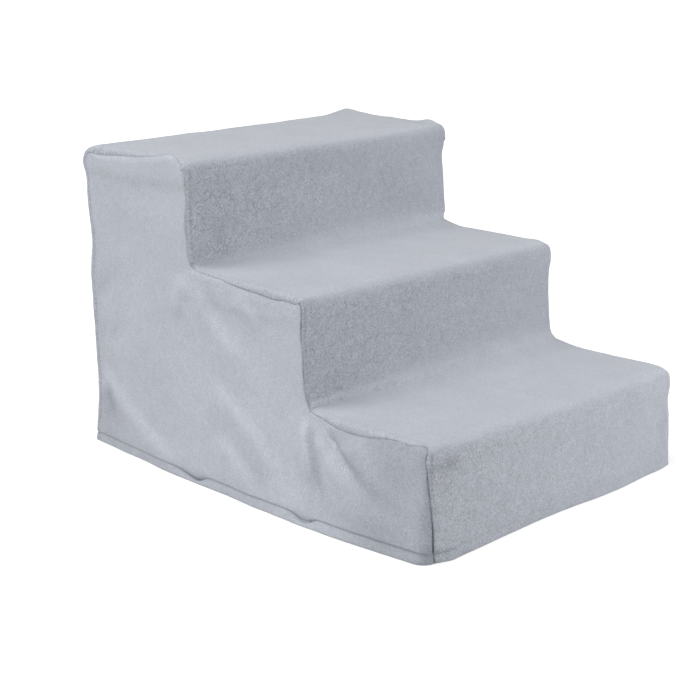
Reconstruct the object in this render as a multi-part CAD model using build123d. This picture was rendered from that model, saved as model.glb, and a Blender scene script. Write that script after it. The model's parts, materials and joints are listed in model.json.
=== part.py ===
from build123d import *
import os

# Pet stairs with three steps: a moulded frame that plugs together, under a loose fleece cover.
# Millimetres. X runs across the stairs, +Y from the front step to the back, +Z is up.
# The origin is on the floor, under the middle of the cover's outline seen from above.

# The stairs as a whole
frame_width = 343.0
step_pitch = 152.0
top_tread_depth = 140.0
first_tread_height = 98.5
step_rise = 102.5
step_names = ("low", "middle", "top")

# Fits that every moulded piece shares
wall = 2.8
fit_gap = 0.2
nosing_radius = 10.7

# Treads
tread_skirt_height = 30.0
tread_side_chamfer = 2.0
tread_rib_thickness = 2.0
tread_rib_depth = 12.0
tread_rib_rows = 3
grip_groove_count = 5
grip_groove_width = 2.0
grip_groove_depth = 0.8
grip_groove_pitch = 8.0
grip_groove_margin = 24.0

# Snap tongues below the treads, and the tabs behind the two lower treads
tongue_width = 24.0
tongue_thickness = 2.4
tongue_reach = 13.0
tongue_setback = 9.8
tongue_flex_room = 1.0
barb_reach = 1.3
barb_height = 4.0
tab_width = 30.0
tab_thickness = 3.0
tab_drop = 4.6
tab_reach = 3.5

# Cross panels and their posts
post_width = 16.0
post_depth = 16.0
post_chamfer = 1.2
cell_count = 7
panel_rib_thickness = 2.0
panel_rib_setback = 2.0
panel_inner_radius = 1.5
foot_stand = 2.0

# Side panels, their windows and the grooves that hold them
side_wall = 3.0
groove_setback = 3.0
groove_depth = 5.0
groove_floor = 6.0
side_rib_depth = 7.0
side_rib_thickness = 2.0
side_window_count = 4
side_window_width = 14.0
side_window_margin = 17.0
side_window_corner = 4.5

# Rubber feet
foot_width = 11.0
foot_recess = 2.5
foot_chamfer = 0.6

# Cloth of the cover
cloth_thickness = 3.0
cloth_gap = 0.3
seam_gap = 0.1
upper_corner_radius = 16.0
lower_corner_radius = 10.0
side_lip_height = 34.0
side_lip_bulge = 3.5
front_lip_bulge = 1.5

# Turned-up hem, and the folds that open towards it
hem_lift = 1.0
hem_height = 12.0
hem_thickness = 4.6
stitch_height = 1.6
fold_headroom = 1.2
side_flare = 20.0
end_flare = 13.0
side_fold_depth = 4.5
end_fold_depth = 3.0
fold_lean_share = 0.1
knee_share = 0.42

# Shares that the cloth has at five heights: the hem's foot, its top, the stitching, the knee, the lip
level_reach_shares = (1.0, 0.93, 0.91, 0.42, 0.0)
level_fold_shares = (0.5, 0.55, 0.6, 1.0, 0.0)

# Where each drop of cloth turns from ridge to valley, and how far it stands out there.
# The sides run from front to back.
left_turn_shares = (
    (0.0, 0.42),
    (0.03, 0.42),
    (0.12, 0.8),
    (0.23, 0.98),
    (0.34, 1.0),
    (0.46, 0.85),
    (0.58, 0.74),
    (0.71, 0.6),
    (0.86, 0.36),
    (0.97, 0.16),
    (1.0, 0.16),
)
right_turn_shares = (
    (0.0, 0.3),
    (0.03, 0.3),
    (0.14, 0.62),
    (0.26, 0.86),
    (0.39, 0.94),
    (0.5, 1.0),
    (0.63, 0.88),
    (0.74, 0.7),
    (0.87, 0.45),
    (0.97, 0.22),
    (1.0, 0.22),
)

# The front and back drops run from left to right
front_turn_shares = (
    (0.0, 0.6),
    (0.04, 0.6),
    (0.2, 1.0),
    (0.38, 0.7),
    (0.56, 0.48),
    (0.77, 0.52),
    (0.96, 0.2),
    (1.0, 0.2),
)
back_turn_shares = (
    (0.0, 0.2),
    (0.04, 0.2),
    (0.22, 0.42),
    (0.41, 0.6),
    (0.6, 0.55),
    (0.79, 0.38),
    (0.96, 0.2),
    (1.0, 0.2),
)

# Places worked out from the sizes above
last_step = len(step_names) - 1
frame_depth = last_step * step_pitch + top_tread_depth
half_width = frame_width / 2
post_outer = half_width - wall - fit_gap
post_inner = post_outer - post_width
post_middle = (post_outer + post_inner) / 2
cell_width = 2 * post_inner / cell_count
side_outer = post_outer - groove_setback
side_inner = side_outer - side_wall
back_panel_face = frame_depth - wall - fit_gap
panel_corner_radius = nosing_radius - wall + 2 * fit_gap
cover_reach = cloth_gap + cloth_thickness


def nosing_place(step):
    return step * step_pitch


def tread_top_height(step):
    return first_tread_height + step * step_rise


def panel_face(step):
    return nosing_place(step) + wall + fit_gap


def underside(step):
    return tread_top_height(step) - wall


def block(low, high):
    """A box between two opposite corners."""
    size = [b - a for a, b in zip(low, high)]
    middle = [(a + b) / 2 for a, b in zip(low, high)]
    return Pos(*middle) * Box(*size)


def extrude_across(profile, from_x, to_x):
    """A profile given as (Y, Z) points, extruded along X."""
    return Pos(from_x, 0, 0) * extrude(Plane.YZ * profile, to_x - from_x)


def outline(points):
    return make_face(Polyline(*points, close=True))


def corner_at(profile, place, radius):
    """The profile with its corner nearest to a point rounded."""
    nearest = profile.vertices().sort_by_distance(Vector(*place))[0]
    return fillet(nearest, radius)


# Treads: a top plate with a skirt, open below


def tread_end(step):
    """Where a tread ends at the back: against the next cross panel, or at its own rear skirt."""
    if step == last_step:
        return frame_depth
    return panel_face(step + 1) - fit_gap


def tread_profile(step, inset, bottom):
    """The side view of a tread, drawn in by an inset on every side that carries a wall."""
    front = nosing_place(step) + inset
    top = tread_top_height(step) - inset
    rear = tread_end(step)
    if step == last_step:
        rear -= inset
    shape = outline([(front, bottom), (front, top), (rear, top), (rear, bottom)])
    shape = corner_at(shape, (front, top), nosing_radius - inset)
    if step == last_step:
        shape = corner_at(shape, (rear, top), nosing_radius - inset)
    return shape


def snap_tongue(face, direction, height, middle):
    """A hooked tongue that hangs through a slot in a panel's top flange."""
    near = face + direction * tongue_setback
    far = near + direction * tongue_thickness
    hook_top = height - wall - fit_gap
    tip = height - tongue_reach
    profile = outline(
        [
            (near, height),
            (near, hook_top),
            (near - direction * barb_reach, hook_top),
            (near, hook_top - barb_height),
            (near, tip),
            (far, tip),
            (far, height),
        ]
    )
    return extrude_across(profile, middle - tongue_width / 2, middle + tongue_width / 2)


def tongue_places():
    """The middles of the two outer cells and of the middle cell of a panel."""
    reach = (cell_count // 2) * cell_width
    return (-reach, 0, reach)


def tread(step):
    top = tread_top_height(step)
    floor = top - tread_skirt_height
    start = nosing_place(step)
    end = tread_end(step)
    body = extrude_across(tread_profile(step, 0, floor), -half_width, half_width)
    rims = [
        edge
        for face in (body.faces().sort_by(Axis.X)[0], body.faces().sort_by(Axis.X)[-1])
        for edge in face.edges()
        if edge.center().Z > floor + tread_side_chamfer
        and (step == last_step or edge.center().Y < end - tread_side_chamfer)
    ]
    body = chamfer(rims, tread_side_chamfer)
    hollow = extrude_across(
        tread_profile(step, wall, floor - wall), wall - half_width, half_width - wall
    )
    body -= hollow

    # Grip grooves behind the nosing
    for number in range(grip_groove_count):
        place = start + nosing_radius + (number + 1) * grip_groove_pitch
        body -= block(
            (grip_groove_margin - half_width, place, top - grip_groove_depth),
            (half_width - grip_groove_margin, place + grip_groove_width, top + wall),
        )

    # Rib grid between the cross panels
    rib_start = panel_face(step) + post_depth + fit_gap
    rib_end = end
    if step == last_step:
        rib_end = back_panel_face - post_depth - fit_gap
    rib_foot = underside(step) - tread_rib_depth
    rib_reach = post_inner - fit_gap
    half_rib = tread_rib_thickness / 2
    for number in range(cell_count + 1):
        place = (number - cell_count / 2) * cell_width
        place = max(min(place, rib_reach - half_rib), half_rib - rib_reach)
        body += block(
            (place - half_rib, rib_start, rib_foot),
            (place + half_rib, rib_end, underside(step)),
        )
    for number in range(tread_rib_rows + 1):
        place = rib_start + number * (rib_end - rib_start - tread_rib_thickness) / tread_rib_rows
        body += block(
            (-rib_reach, place, rib_foot),
            (rib_reach, place + tread_rib_thickness, underside(step)),
        )

    # Tongues down into the panels, tabs back through the next riser
    for middle in tongue_places():
        body += snap_tongue(panel_face(step), 1, underside(step), middle)
        if step == last_step:
            body += snap_tongue(back_panel_face, -1, underside(step), middle)
        else:
            body += block(
                (middle - tab_width / 2, end - tread_rib_thickness, top - tab_drop - tab_thickness),
                (middle + tab_width / 2, end + fit_gap + wall + tab_reach, top - tab_drop),
            )
    return body


# Cross panels: a plate with flanges and ribs behind it, between two grooved posts


def seat_height(step):
    """The top of the rib on which the tabs of a tread rest."""
    return tread_top_height(step) - tab_drop - tab_thickness - fit_gap


def panel_rib_heights(steps):
    """Undersides of the level ribs: one under each lower tread's tabs, one half way below it."""
    heights = [tread_top_height(step) - step_rise / 2 for step in range(steps + 1)]
    heights += [seat_height(step) - panel_rib_thickness for step in range(steps)]
    return heights


def cross_panel(face, direction, height, lower_steps, mouths, tab_steps):
    """A panel with its outer face at a place in Y, and its ribs and posts along the direction.

    A mouth is the place and direction of a groove that a side panel slides down.
    """
    rear = face + direction * post_depth
    inner = face + direction * wall

    # The plate and its flanges are one channel, rounded under the nosing
    shape = outline([(face, foot_stand), (face, height), (rear, height), (rear, foot_stand)])
    shape = corner_at(shape, (face, height), panel_corner_radius)
    trough = outline(
        [
            (inner, foot_stand + wall),
            (inner, height - wall),
            (rear + direction * wall, height - wall),
            (rear + direction * wall, foot_stand + wall),
        ]
    )
    trough = corner_at(trough, (inner, height - wall), panel_corner_radius - wall)
    trough = corner_at(trough, (inner, foot_stand + wall), panel_inner_radius)
    body = extrude_across(shape - trough, -post_inner - fit_gap, post_inner + fit_gap)

    # Ribs, a little behind the flanges
    rib_edge = rear - direction * panel_rib_setback
    near, far = sorted((face + direction * wall / 2, rib_edge))
    for number in range(1, cell_count):
        middle = (number - cell_count / 2) * cell_width
        body += block(
            (middle - panel_rib_thickness / 2, near, foot_stand + wall / 2),
            (middle + panel_rib_thickness / 2, far, height - nosing_radius),
        )
    for level in panel_rib_heights(lower_steps):
        body += block((-post_inner, near, level), (post_inner, far, level + panel_rib_thickness))

    # Posts with a groove for each side panel that they hold
    for side in (-1, 1):
        post = extrude_across(shape, *sorted((side * post_inner, side * post_outer)))
        long_edges = post.edges().filter_by(Axis.Z).group_by(Axis.X)
        outer_edges = long_edges[-1] if side > 0 else long_edges[0]
        body += chamfer(outer_edges, post_chamfer)
        groove_low, groove_high = sorted(
            (side * (side_inner - fit_gap), side * (side_outer + fit_gap))
        )
        for mouth, inward in mouths:
            y_low, y_high = sorted((mouth - inward * wall, mouth + inward * groove_depth))
            body -= block(
                (groove_low, y_low, foot_stand + groove_floor),
                (groove_high, y_high, height + wall),
            )
        body -= Pos(side * post_middle, (face + rear) / 2, 0) * foot_block(foot_width + 2 * fit_gap)

    # Slots for the tongues above, and for the tabs of the tread in front
    for middle in tongue_places():
        near = face + direction * (tongue_setback - fit_gap)
        far = face + direction * (tongue_setback + tongue_thickness + tongue_flex_room)
        y_low, y_high = sorted((near, far))
        body -= block(
            (middle - tongue_width / 2 - fit_gap, y_low, height - wall - fit_gap),
            (middle + tongue_width / 2 + fit_gap, y_high, height + wall),
        )
        for step in tab_steps:
            body -= block(
                (middle - tab_width / 2 - fit_gap, face - wall, seat_height(step)),
                (
                    middle + tab_width / 2 + fit_gap,
                    face + wall,
                    tread_top_height(step) - tab_drop + fit_gap,
                ),
            )
    return body


def riser(step):
    """The panel that stands under the nosing of a step."""
    face = panel_face(step)
    mouths = [(face + post_depth, -1)]
    if step > 0:
        mouths.append((face, 1))
    tabs = [step - 1] if step > 0 else []
    return cross_panel(face, 1, underside(step), step, mouths, tabs)


def back_panel():
    mouths = [(back_panel_face - post_depth, 1)]
    return cross_panel(back_panel_face, -1, underside(last_step), last_step, mouths, [])


# Side panels: windowed plates that slide down into the grooves


def side_panel(step, side):
    start = panel_face(step) + post_depth
    end = panel_face(step + 1)
    if step == last_step:
        end = back_panel_face - post_depth
    foot = foot_stand + groove_floor
    top = underside(step)
    hold = groove_depth - fit_gap
    outer, inner = side * side_outer, side * side_inner
    low_x, high_x = sorted((outer, inner))
    body = block((low_x, start - hold, foot), (high_x, end + hold, top))

    # Stiffening ribs round the edge and at the height of each lower tread
    low_x, high_x = sorted((inner, side * (side_inner - side_rib_depth)))
    rib_start, rib_end = start + fit_gap, end - fit_gap
    levels = [foot] + [tread_top_height(lower) for lower in range(step)]
    levels.append(top - side_rib_thickness)
    for level in levels:
        body += block((low_x, rib_start, level), (high_x, rib_end, level + side_rib_thickness))
    for place in (rib_start, rib_end - side_rib_thickness):
        body += block((low_x, place, foot), (high_x, place + side_rib_thickness, top))

    # Windows between the ribs
    window_pitch = (rib_end - rib_start) / side_window_count
    for lower, upper in zip(levels, levels[1:]):
        window = Rectangle(side_window_width, upper - lower - 2 * side_window_margin)
        window = chamfer(window.vertices(), side_window_corner)
        for number in range(side_window_count):
            place = rib_start + (number + 1 / 2) * window_pitch
            low_x, high_x = sorted((outer + side * wall, inner - side * wall))
            body -= extrude_across(Pos(place, (lower + upper) / 2) * window, low_x, high_x)
    return body


# Rubber feet, one pressed into the foot of each post


def foot_block(width):
    """A foot of a given width, from the floor up into its post."""
    return block((-width / 2, -width / 2, 0), (width / 2, width / 2, foot_stand + foot_recess))


def rubber_feet():
    pad = foot_block(foot_width)
    pad = chamfer(pad.faces().sort_by(Axis.Z)[0].edges(), foot_chamfer)
    middles = [panel_face(step) + post_depth / 2 for step in range(last_step + 1)]
    middles.append(back_panel_face - post_depth / 2)
    return Compound(
        children=[Pos(side * post_middle, middle, 0) * pad for middle in middles for side in (-1, 1)]
    )


# Cover: the stair outline at any distance outside the treads


fold_top = first_tread_height + cover_reach - side_lip_height - fold_headroom


def stair_outline(reach, bulge=0):
    """The space under the steps, grown by a reach, from the top of the folds upwards."""
    points = [(-reach, fold_top)]
    for step in range(last_step + 1):
        points.append((nosing_place(step) - reach, tread_top_height(step) + reach))
        end = frame_depth + reach if step == last_step else nosing_place(step + 1) - reach
        points.append((end, tread_top_height(step) + reach))
    points.append((frame_depth + reach, fold_top))
    shape = outline(points)
    round_radius = nosing_radius + reach
    corner_radii = (lower_corner_radius, upper_corner_radius)
    for step in range(last_step + 1):
        top = tread_top_height(step) + reach
        shape = corner_at(shape, (nosing_place(step) - reach, top), round_radius)
        if step < last_step:
            hollow_radius = corner_radii[min(step, 1)] + cover_reach - reach
            shape = corner_at(shape, (nosing_place(step + 1) - reach, top), hollow_radius)
    last_corner = (frame_depth + reach, tread_top_height(last_step) + reach)
    shape = corner_at(shape, last_corner, round_radius)

    # The cloth stands out a little over each nosing skirt
    if bulge:
        for step in range(last_step + 1):
            face = nosing_place(step) - reach
            top = tread_top_height(step) - nosing_radius
            low = max(tread_top_height(step) + reach - side_lip_height, fold_top + fold_headroom)
            inside = face + cloth_thickness
            arc = ThreePointArc((face, top), (face - bulge, (top + low) / 2), (face, low))
            back = Polyline((face, low), (inside, low), (inside, top), (face, top))
            shape += make_face(arc + back)
    return shape


hem_top = hem_lift + hem_height
stitch_level = hem_top + stitch_height
knee_level = stitch_level + knee_share * (fold_top - stitch_level)
levels = (hem_lift, hem_top, stitch_level, knee_level, fold_top)
level_thicknesses = (hem_thickness,) * 2 + (cloth_thickness,) * 3


def corner_reach(number, turn_share, flare):
    """How far the inner side of a drop stands out at one of its ends, at one height."""
    return cloth_gap + turn_share[1] * flare * level_reach_shares[number]


def drop_section(number, span, turn_shares, flare, fold_depth, to_space):
    """The closed outline of a hanging cloth at one height: ridges and valleys on a wide bow."""
    height = levels[number]
    start, end = span
    rise_share = (height - hem_lift) / (fold_top - hem_lift)
    outer, inner = [], []
    for turn_share in turn_shares:
        place_share = turn_share[0]
        place_share += 4 * fold_lean_share * place_share * (1 - place_share) * rise_share
        along = start + place_share * (end - start)
        out = corner_reach(number, turn_share, flare)
        inner.append((along, out))
        outer.append((along, out + level_thicknesses[number]))
    depths = [0]
    for index in range(1, len(outer) - 2):
        reach_share = min(turn_shares[index][1], turn_shares[index + 1][1])
        depth = fold_depth * level_fold_shares[number] * reach_share
        depths.append(depth if index % 2 else -depth)
    depths.append(0)

    def run(chain, chain_depths):
        edges = []
        for first, last, depth in zip(chain, chain[1:], chain_depths):
            ends = [Vector(*to_space(*point, height)) for point in (first, last)]
            if depth:
                middle = ((first[0] + last[0]) / 2, (first[1] + last[1]) / 2 + depth)
                middle_point = Vector(*to_space(*middle, height))
                edges.append(Edge.make_three_point_arc(ends[0], middle_point, ends[1]))
            else:
                edges.append(Edge.make_line(*ends))
        return edges

    edges = run(outer, depths)
    edges += run([outer[-1], inner[-1]], [0])
    edges += run(inner[::-1], depths[::-1])
    edges += run([inner[0], outer[0]], [0])
    return Wire(edges)


def hanging_drop(spans, turn_shares, flare, fold_depth, to_space):
    """The folded foot of a hanging cloth: straight runs of cloth from height to height."""
    sections = [
        drop_section(number, span, turn_shares, flare, fold_depth, to_space)
        for number, span in enumerate(spans)
    ]
    return Solid.make_loft(sections, ruled=True)


def side_drop(side, turn_shares, front_share, back_share):
    """The folded foot of a side, from the front corner seam to the back one."""
    spans = []
    for number, thickness in enumerate(level_thicknesses):
        start = -corner_reach(number, front_share, end_flare) - thickness
        end = frame_depth + corner_reach(number, back_share, end_flare) + thickness
        spans.append((start, end))
    return hanging_drop(
        spans,
        turn_shares,
        side_flare,
        side_fold_depth,
        lambda along, out, height: (side * (half_width + out), along, height),
    )


def end_drop(face, direction, turn_shares, left_share, right_share):
    """The folded foot of the strip at the front or the back, between the side seams."""
    spans = []
    for number in range(len(levels)):
        start = seam_gap - half_width - corner_reach(number, left_share, side_flare)
        end = half_width + corner_reach(number, right_share, side_flare) - seam_gap
        spans.append((start, end))
    return hanging_drop(
        spans,
        turn_shares,
        end_flare,
        end_fold_depth,
        lambda along, out, height: (along, face + direction * out, height),
    )


def cover_side(side, turn_shares, front_share, back_share):
    near, far = sorted((side * (half_width + cloth_gap), side * (half_width + cover_reach)))
    body = extrude_across(stair_outline(cover_reach), near, far)

    # A full lip hangs over the side skirt of each tread
    near, far = sorted((side * half_width, side * (half_width + side_flare)))
    room = extrude_across(stair_outline(cover_reach), near, far)
    for step in range(last_step + 1):
        top = tread_top_height(step) + cover_reach
        low = top - side_lip_height
        face = side * (half_width + cover_reach)
        back = side * (half_width + cloth_gap + cloth_thickness / 2)
        crest = (face + side * side_lip_bulge, (top + low) / 2)
        arc = ThreePointArc((face, top), crest, (face, low))
        profile = make_face(arc + Polyline((face, low), (back, low), (back, top), (face, top)))
        start = nosing_place(step) - cover_reach
        end = frame_depth + cover_reach if step == last_step else nosing_place(step + 1) - cloth_gap
        lip = Pos(0, start, 0) * extrude(Plane.XZ * profile, start - end)
        body += lip & room
    body += side_drop(side, turn_shares, front_share, back_share)
    return body


def cover_centre_strip():
    reach = half_width + cloth_gap - seam_gap
    body = extrude_across(
        stair_outline(cover_reach, front_lip_bulge) - stair_outline(cloth_gap), -reach, reach
    )
    for face, direction, turn_shares, index in (
        (0, -1, front_turn_shares, 0),
        (frame_depth, 1, back_turn_shares, -1),
    ):
        sides = (left_turn_shares[index], right_turn_shares[index])
        body += end_drop(face, direction, turn_shares, *sides)
    return body


# The whole assembly


def assembly():
    pieces = {}
    for step, name in enumerate(step_names):
        pieces[f"tread_{name}"] = tread(step)
        for side, side_name in ((-1, "left"), (1, "right")):
            pieces[f"side_panel_{name}_{side_name}"] = side_panel(step, side)
    pieces["front_panel"] = riser(0)
    pieces["riser_panel_middle"] = riser(1)
    pieces["riser_panel_top"] = riser(2)
    pieces["back_panel"] = back_panel()
    pieces["rubber_feet"] = rubber_feet()
    pieces["cover_centre_strip"] = cover_centre_strip()
    for side, side_name, turn_shares, index in (
        (-1, "left", left_turn_shares, 0),
        (1, "right", right_turn_shares, -1),
    ):
        ends = (front_turn_shares[index], back_turn_shares[index])
        pieces[f"cover_side_{side_name}"] = cover_side(side, turn_shares, *ends)
    return pieces


os.makedirs("parts", exist_ok=True)
pieces = assembly()
cover = [pieces[name].bounding_box() for name in pieces if name.startswith("cover")]
middle_x = (min(box.min.X for box in cover) + max(box.max.X for box in cover)) / 2
middle_y = (min(box.min.Y for box in cover) + max(box.max.Y for box in cover)) / 2
for name, piece in pieces.items():
    export_step(Pos(-middle_x, -middle_y, 0) * piece, f"parts/{name}.step")
print("middle of the cover", round(middle_x, 3), round(middle_y, 3))
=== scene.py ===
import json
import math

import bpy
import numpy as np
from mathutils import Matrix, Vector, noise


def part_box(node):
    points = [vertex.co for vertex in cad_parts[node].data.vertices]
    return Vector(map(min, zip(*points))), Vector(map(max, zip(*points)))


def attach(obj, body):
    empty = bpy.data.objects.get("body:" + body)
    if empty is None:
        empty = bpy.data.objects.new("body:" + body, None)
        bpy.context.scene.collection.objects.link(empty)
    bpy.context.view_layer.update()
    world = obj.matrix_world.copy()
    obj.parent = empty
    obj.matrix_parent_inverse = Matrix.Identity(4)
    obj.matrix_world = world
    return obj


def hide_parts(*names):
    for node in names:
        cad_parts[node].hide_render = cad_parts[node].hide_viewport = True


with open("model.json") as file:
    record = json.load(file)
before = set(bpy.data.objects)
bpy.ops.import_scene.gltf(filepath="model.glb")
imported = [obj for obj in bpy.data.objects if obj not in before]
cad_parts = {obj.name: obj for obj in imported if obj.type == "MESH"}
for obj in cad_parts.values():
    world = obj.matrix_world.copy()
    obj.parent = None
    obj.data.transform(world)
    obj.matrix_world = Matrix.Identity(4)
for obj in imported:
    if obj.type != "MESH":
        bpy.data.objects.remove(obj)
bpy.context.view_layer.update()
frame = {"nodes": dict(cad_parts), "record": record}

# Cover, its cut: a loose slip of short-pile polyester fleece over a plugged-together frame.
# Two stair-shaped sides are sewn to one strip that runs up the front, over the three steps and
# down the back. The outline that they share follows the treads, in millimetres from here on.
to_mm = 1000
treads = [np.array(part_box(f"tread_{name}")) * to_mm for name in ("low", "middle", "top")]
middle_x = treads[0][:, 0].mean()
half_width = np.ptp(treads[0][:, 0]) / 2
nosings = np.array([low[1] for low, high in treads])
tread_tops = np.array([high[2] for low, high in treads])
frame_back = treads[-1][1][1]
cloth_thickness = 2.6
cloth_reach = 3.3
inside_reach = cloth_reach - cloth_thickness
strip_half = half_width + cloth_reach

# Radii in side view: of the cloth over each nosing, of the seam in the two inner corners, and of
# the wide hollows in which the strip cuts across them
cloth_rounds = (14.0, 18.0, 14.0)
corner_radii = (8.0, 7.0)
bridge_radii = (46.0, 42.0)

# Heights of the hem's lower edge, of its stitches and of its turned-up edge
hem_low = 1.9
stitch_height = 9.6
hem_high = 12.5

# Rows and columns of the cloth lie a cell apart, and closer beside a seam and along the stitches.
# Places less than a hair apart are the same.
seam_steps = np.array((0.4, 0.9, 1.5, 2.2, 3.1, 4.2, 5.6, 7.4, 9.6))
stitch_steps = (8.3, 8.9, 9.3, stitch_height, 9.9, 10.3, 10.9)
cell = 3.0
hair = 1e-6


def spread(low, high, close_low, close_high):
    """Places from low to high, without high: even cells, closer beside an end that is sewn."""
    start = low + seam_steps[-1] if close_low else low
    stop = high - seam_steps[-1] if close_high else high
    count = max(2, round((stop - start) / cell))
    middle = np.linspace(start, stop, count + 1)[:-1]
    first = [low, *(low + seam_steps[:-1])] if close_low else []
    last = [stop, *(high - seam_steps[-2::-1])] if close_high else []
    return [*first, *middle, *last]


front = nosings[0] - cloth_reach
back = frame_back + cloth_reach
risers = nosings[1:] - cloth_reach
cloth_tops = tread_tops + cloth_reach
step_starts = (front, *risers)
step_ends = (*risers, back)
columns = spread(front, risers[0], True, False)
columns += spread(risers[0], risers[1], True, False)
columns += spread(risers[1], back, True, True) + [back]
columns = np.array(columns)
rows = [hem_low, 3.8, 5.8, 7.4, *stitch_steps, 11.6, hem_high, 13.4]
rows += spread(rows[-1] + cell, cloth_tops[0], False, True)
rows += spread(cloth_tops[0], cloth_tops[1], False, True)
rows += spread(cloth_tops[1], cloth_tops[2], False, True) + [cloth_tops[2]]
rows = np.array(rows)


def step_of(y):
    """The number of the step above which a place in Y lies."""
    return (y >= risers[0] - hair).astype(int) + (y >= risers[1] - hair)


column_tops = cloth_tops[step_of(columns)]
number_of = -np.ones((len(columns), len(rows)), int)
inside = rows[None, :] <= column_tops[:, None] + hair
number_of[inside] = np.arange(inside.sum())
grid_y, grid_z = (values[inside] for values in np.meshgrid(columns, rows, indexing="ij"))
cell_tops = cloth_tops[step_of((columns[1:] + columns[:-1]) / 2)]
cells = rows[None, 1:] <= cell_tops[:, None] + hair
cell_corners = (number_of[:-1, :-1], number_of[1:, :-1], number_of[1:, 1:], number_of[:-1, 1:])
side_faces = np.stack([corner[cells] for corner in cell_corners], axis=1)

# The seam's path round the side, from the front hem over the steps to the back hem
seam_path = []
seam_corners = [0]
first_column, first_row = 0, 0
for top, end in zip(cloth_tops, step_ends):
    top_row = int(np.argmin(abs(rows - top)))
    last_column = int(np.argmin(abs(columns - end)))
    seam_path += [(first_column, row) for row in range(first_row, top_row + 1)]
    seam_corners.append(len(seam_path) - 1)
    seam_path += [(column, top_row) for column in range(first_column + 1, last_column + 1)]
    seam_corners.append(len(seam_path) - 1)
    first_column, first_row = last_column, top_row + 1
seam_path += [(first_column, row) for row in range(top_row - 1, -1, -1)]
seam_corners.append(len(seam_path) - 1)
seam_numbers = np.array([number_of[place] for place in seam_path])
hem_numbers = number_of[:, 0]


def smooth(value, low, high):
    """0 below low, 1 above high and an even slope between."""
    share = np.clip((value - low) / (high - low), 0, 1)
    return share * share * (3 - 2 * share)


def side_outline(reach, sharpnesses, inner_radii):
    """The side's grid on a flat table, cut to a reach outside the frame. Sharpness 2 is a round."""
    shift = cloth_reach - reach
    shift_run = 20
    y, z = grid_y.copy(), grid_z.copy()
    for place in step_starts:
        y += shift * np.clip(1 - abs(grid_y - place) / shift_run, 0, 1)
    y -= shift * np.clip(1 - abs(grid_y - back) / shift_run, 0, 1)
    for place in cloth_tops:
        z -= shift * np.clip(1 - abs(grid_z - place) / shift_run, 0, 1)

    # Outer corners: squares drawn in to rounds
    corners = [(*corner, -1) for corner in zip(nosings, tread_tops, cloth_rounds)]
    corners.append((frame_back, tread_tops[2], cloth_rounds[2], 1))
    for (edge_y, edge_z, turn, direction), sharpness in zip(corners, sharpnesses):
        radius = turn - shift
        corner_y, corner_z = edge_y + direction * (reach - radius), edge_z + reach - radius
        along, up = (y - corner_y) * direction, z - corner_z
        near = (along > 0) & (up > 0) & (along < radius + 1) & (up < radius + 1)
        length = (along[near] ** sharpness + up[near] ** sharpness) ** (1 / sharpness)
        scale = np.maximum(along[near], up[near]) / length
        y[near] = corner_y + direction * along[near] * scale
        z[near] = corner_z + up[near] * scale

    # Inner corners: the cloth cuts across them
    for nosing, top, radius in zip(nosings[1:], tread_tops, inner_radii):
        radius = radius + cloth_reach - reach
        along, down = y - (nosing - reach), top + reach - z
        depth = np.maximum(along, down)
        place = along - down
        angle = np.clip(1 - abs(place) / radius, 0, 1) * math.pi / 4
        arc_run = radius * np.sin(angle) - np.clip(radius - abs(place), 0, radius)
        arc_rise = radius * (1 - np.cos(angle))
        fade = 1 - smooth(depth, 0, 2.2 * radius)
        near = (abs(place) < radius) & (depth > -hair)
        tread_leg = near & (place <= 0)
        riser_leg = near & (place > 0)
        y[tread_leg] += (arc_run * fade)[tread_leg]
        z[tread_leg] += (arc_rise * fade)[tread_leg]
        y[riser_leg] -= (arc_rise * fade)[riser_leg]
        z[riser_leg] -= (arc_run * fade)[riser_leg]
    return np.stack([y, z], axis=1)


def path_normals(path):
    """Outward normals along the seam's path."""
    runs = np.gradient(path, axis=0)
    runs /= np.linalg.norm(runs, axis=1)[:, None]
    return np.stack([-runs[:, 1], runs[:, 0]], axis=1)


# The seam pulls the corners of the two lower steps nearly square
seam_sharpnesses = (5, 5, 2.6, 3)
round_sharpnesses = (2, 2, 2, 2)
outline_outside = side_outline(cloth_reach, seam_sharpnesses, corner_radii)
outline_inside = side_outline(inside_reach, round_sharpnesses, corner_radii)
seam_outside = outline_outside[seam_numbers]
seam_inside = outline_inside[seam_numbers]
seam_normals = path_normals(seam_outside)
seam_runs = np.linalg.norm(np.diff(seam_outside, axis=0), axis=1)
seam_lengths = np.concatenate([[0], np.cumsum(seam_runs)])


# Cover, how it hangs: the frame holds it at the treads, and below them it bows out to its hem.
# Heavy fleece like this falls in a few soft folds that start at the inner corners of the steps.
# Every fold is a path of places in Y, measured back from the front edge, and in Z.
def curve(place, places, heights):
    """A smooth line through given points."""
    places, heights = np.array(places, float), np.array(heights, float)
    slopes = np.gradient(heights, places)
    index = np.clip(np.searchsorted(places, place) - 1, 0, len(places) - 2)
    width = places[index + 1] - places[index]
    share = np.clip((place - places[index]) / width, 0, 1)
    low, high = heights[index], heights[index + 1]
    bend_low, bend_high = slopes[index] * width, slopes[index + 1] * width
    return (
        low * (1 + 2 * share) * (1 - share) ** 2
        + bend_low * share * (1 - share) ** 2
        + high * share**2 * (3 - 2 * share)
        + bend_high * share**2 * (share - 1)
    )


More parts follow.
